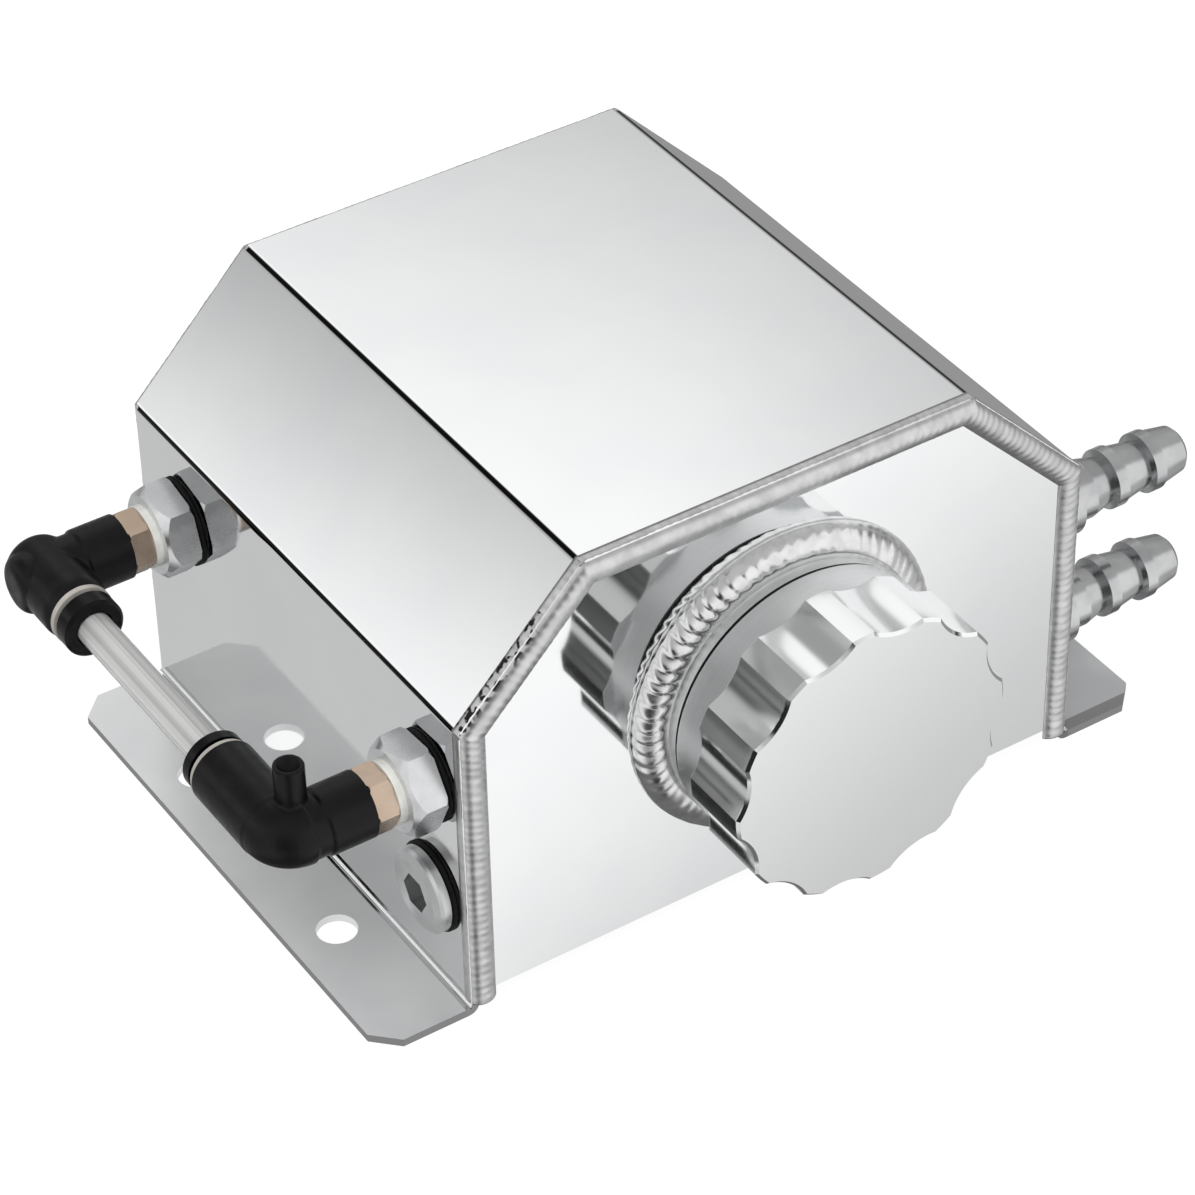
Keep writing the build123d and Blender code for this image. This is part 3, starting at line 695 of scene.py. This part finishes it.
# %% The welds round the end plates
seam_foot = (wall_face, 2.3)
corners = [Vector(corner) for corner in (seam_foot, wall_fold, top_fold)]
corners = [Vector((-corner.x, corner.y)) for corner in corners] + corners[::-1]
runs = [after - before for before, after in zip(corners, corners[1:])]
inward = [Vector((run.y, -run.x)).normalized() for run in runs]
mitres = [inward[0]] + [(a + b) / (1 + a.dot(b)) for a, b in zip(inward, inward[1:])] + [inward[-1]]
seam_length = sum(run.length for run in runs)
bead_sections = {
    "front": outline([((4.7, -0.02), (4.2, 0.75), (3.2, 1.2), (2.2, 1.2)),
                      ((2.2, 1.2), (1.0, 1.2), (-0.55, 0.4), (0.0, -2.0))],
                     [(0.6, -1.8), (1.0, -0.5), (4.0, -0.4)]),
    "rear": outline([((4.6, -0.02), (3.7, 0.8), (2.7, 1.2), (1.7, 1.2)),
                     ((1.7, 1.2), (0.7, 1.2), (0.02, 0.8), (0.02, -0.6))],
                    [(0.6, -1.2), (1.0, -0.5), (4.0, -0.4)]),
}


def round_plate(face, out):
    """The place of a point of an end plate's bead, with its corners mitred."""
    def spot(share, inset, height):
        left = share * seam_length
        for number, run in enumerate(runs):
            if left <= run.length or number == len(runs) - 1:
                break
            left -= run.length
        first = corners[number] + mitres[number] * inset
        last = corners[number + 1] + mitres[number + 1] * inset
        point = first.lerp(last, left / run.length)
        return Vector((point.x, face + out * height, point.y))
    return spot


for name, out in (("front", -1), ("rear", 1)):
    seam = round_plate(out * end_face, out)
    bead = rippled(name + "_weld_ripples", seam_length, seam, bead_sections[name], pitch=1.6, depth=0.042,
                   bow=0.6, edge=1.6, seed=7.0 + out)
    finished(bead, "tank", "weld_aluminium", finishes["plate weld"], name + "_weld_bead")

# %% [markdown]
# ## Elbows
# Each elbow is one nylon moulding with full, round corners that no pair of plain cylinders has. So the
# cylinders are only the clay: a voxel remesh melts them together, a few rounds of smoothing fill the
# inner corner and round the outer one, and then the mouths are cut square and the bores are taken out.


# %% Helpers for the elbows
def drum(shape, place, axis, radius, low, high, soften=0.0):
    """A closed cylinder from low to high along an axis, in millimetres, with softened rims."""
    axis = Vector(axis)
    turn = axis.to_track_quat("Z", "Y").to_matrix().to_4x4()
    where = Matrix.Translation((Vector(place) + axis * (low + high) / 2) * MM) @ turn
    made = bmesh.ops.create_cone(shape, cap_ends=True, segments=64, radius1=radius * MM,
                                 radius2=radius * MM, depth=(high - low) * MM, matrix=where)
    if soften:
        rims = {edge for vert in made["verts"] for face in vert.link_faces if len(face.verts) > 4
                for edge in face.edges}
        bmesh.ops.bevel(shape, geom=list(rims), offset=soften * MM, affect="EDGES", segments=6,
                        profile=0.5, material=-1)


def shaped(piece, name):
    """Apply a piece's modifiers and keep the result under its final name."""
    mesh = bpy.data.meshes.new_from_object(piece.evaluated_get(bpy.context.evaluated_depsgraph_get()))
    kept = bpy.data.objects.new(name, mesh)
    bpy.context.scene.collection.objects.link(kept)
    bpy.data.objects.remove(piece)
    return kept


def melted(shape, name, voxel, passes):
    """Melt overlapping shells into one skin and smooth it."""
    piece = mesh_object(name + "_clay", shape)
    skin = piece.modifiers.new("melt", "REMESH")
    skin.mode = "VOXEL"
    skin.voxel_size = voxel * MM
    ease = piece.modifiers.new("ease", "SMOOTH")
    ease.factor = 0.5
    ease.iterations = passes
    return shaped(piece, name + "_skin")


def carved(piece, name, shape):
    """Take the shells of a bmesh out of a piece."""
    cutter = mesh_object(name + "_cutter", shape)
    cut = piece.modifiers.new("cut", "BOOLEAN")
    cut.operation = "DIFFERENCE"
    cut.solver = "EXACT"
    cut.use_self = True
    cut.object = cutter
    kept = shaped(piece, name)
    bpy.data.objects.remove(cutter)
    return kept


# %% [markdown]
# A barrel grips the stem, an arm holds the tube, and a knuckle joins them: a swept bend in front, which
# carries a small open vent, and a full corner at the rear. The clay is a little too long at both mouths
# and cut square there. A seat and its depth are given as a pair, as the solids have them: one for the
# stem, one for the tube and a wider one for the seal, the grip ring and the collar.

# %% Sizes of the elbows
stem_mouth = -72.0
barrel_end = -79.8
barrel_radius = 5.72
waist_radius = 5.35
arm_radius = 5.82
bend = 3.2
bend_radius = 5.7
bend_sides = 48
corner_out = 6.2
corner_back = 5.7
corner_round = 2.8
vent = Vector((-83.2, -39.3, 56.2))
vent_radius = 2.55
vent_length = 12.0
vent_bore = (1.9, 6.0)
passage = 2.0
stem_seat = (3.55, 7.65)
tube_seat = (3.05, 5.6)
collar_seat = (4.5, 4.6)
spare = 0.6
overshoot = 1.0
cutter_radius = 9.0
cutter_depth = 3.0
voxel = 0.24
smoothing_passes = 4
wall, up = Vector((1, 0, 0)), Vector((0, 0, 1))
barrel = stem_mouth - arm_axis


# %% The two elbows
def elbow_clay(side, corner, arm, mouth):
    """The overlapping drums that an elbow is melted from."""
    shape = bmesh.new()
    drum(shape, corner, wall, barrel_radius, barrel_end - arm_axis, barrel + spare, 0.3)
    if side == "front":
        drum(shape, corner, wall, waist_radius, bend, barrel)
        drum(shape, corner, arm, arm_radius, bend, mouth + spare)
        where = Matrix.Translation((corner + bend * arm) * MM) @ Matrix.Rotation(pi / 2, 4, "X")
        disc = bmesh.ops.create_circle(shape, cap_ends=True, segments=bend_sides, radius=bend_radius * MM,
                                       matrix=where)
        turned = [face for face in disc["verts"][0].link_faces if len(face.verts) == bend_sides]
        bmesh.ops.spin(shape, geom=turned, cent=(corner + bend * (arm + wall)) * MM, axis=up,
                       angle=arm.y * pi / 2, steps=12)
        drum(shape, vent, up, vent_radius, -vent_length, 0.0, 0.2)
    else:
        drum(shape, corner, wall, waist_radius, -corner_out, barrel, corner_round)
        drum(shape, corner, arm, arm_radius, -corner_back, mouth + spare, corner_round)
    bmesh.ops.recalc_face_normals(shape, faces=shape.faces)
    return shape


def elbow_bores(side, corner, arm, mouth):
    """What is taken out of an elbow: the spare clay at its mouths, the passage and the seats."""
    shape = bmesh.new()
    drum(shape, corner, wall, cutter_radius, barrel, barrel + cutter_depth)
    drum(shape, corner, arm, cutter_radius, mouth, mouth + cutter_depth)
    drum(shape, corner, wall, stem_seat[0], barrel - stem_seat[1], barrel + overshoot)
    drum(shape, corner, wall, passage, 0.0, barrel)
    drum(shape, corner, arm, passage, 0.0, mouth)
    drum(shape, corner, arm, tube_seat[0], mouth - tube_seat[1], mouth)
    drum(shape, corner, arm, collar_seat[0], mouth - collar_seat[1], mouth + overshoot)
    if side == "front":
        drum(shape, vent, up, vent_bore[0], -vent_bore[1], overshoot)
    return shape


for side, port, toward, mouth in (("front", front_port, 1, 18.5), ("rear", rear_port, -1, 11.9)):
    corner, arm = Vector((arm_axis, port, port_height)), Vector((0, toward, 0))
    skin = melted(elbow_clay(side, corner, arm, mouth), side, voxel, smoothing_passes)
    elbow = carved(skin, "elbow_moulding_" + side, elbow_bores(side, corner, arm, mouth))
    finished(elbow, "tank", "black_nylon", finishes["nylon"], "elbow_body_" + side)

# %% [markdown]
# ## Port washers
# A rubber washer is stamped from sheet and squeezed by what screws on it, so only a thin black line
# shows. A small section, spun round the port's axis, gives that line: its rim is thin and slopes back,
# and further in it is as thick as the solid and still meets the adaptor.

# %% The washers of the ports and of the plug
section = [(5.2, 0.02), (7.8, 0.02), (7.92, 0.12), (7.92, 0.46), (7.7, 0.6), (6.9, 0.98), (5.2, 0.98)]
washers = {"port_washer_front": (front_port, port_height, "tank"),
           "port_washer_rear": (rear_port, port_height, "tank"),
           "drain_washer": (front_port, plug_height, "drain_washer")}
for node, (port, rise, body) in washers.items():
    shape = bmesh.new()
    centre = Vector((-wall_face, port, rise))
    verts = [shape.verts.new((centre + Vector((-height, radius, 0))) * MM) for radius, height in section]
    edges = [shape.edges.new(pair) for pair in zip(verts, verts[1:] + verts[:1])]
    bmesh.ops.spin(shape, geom=verts + edges, cent=centre * MM, axis=(1, 0, 0), angle=2 * pi, steps=72,
                   use_merge=True)
    bmesh.ops.recalc_face_normals(shape, faces=shape.faces)
    finished(mesh_object(node + "_rubber", shape), body, "black_rubber", finishes["rubber"], node)
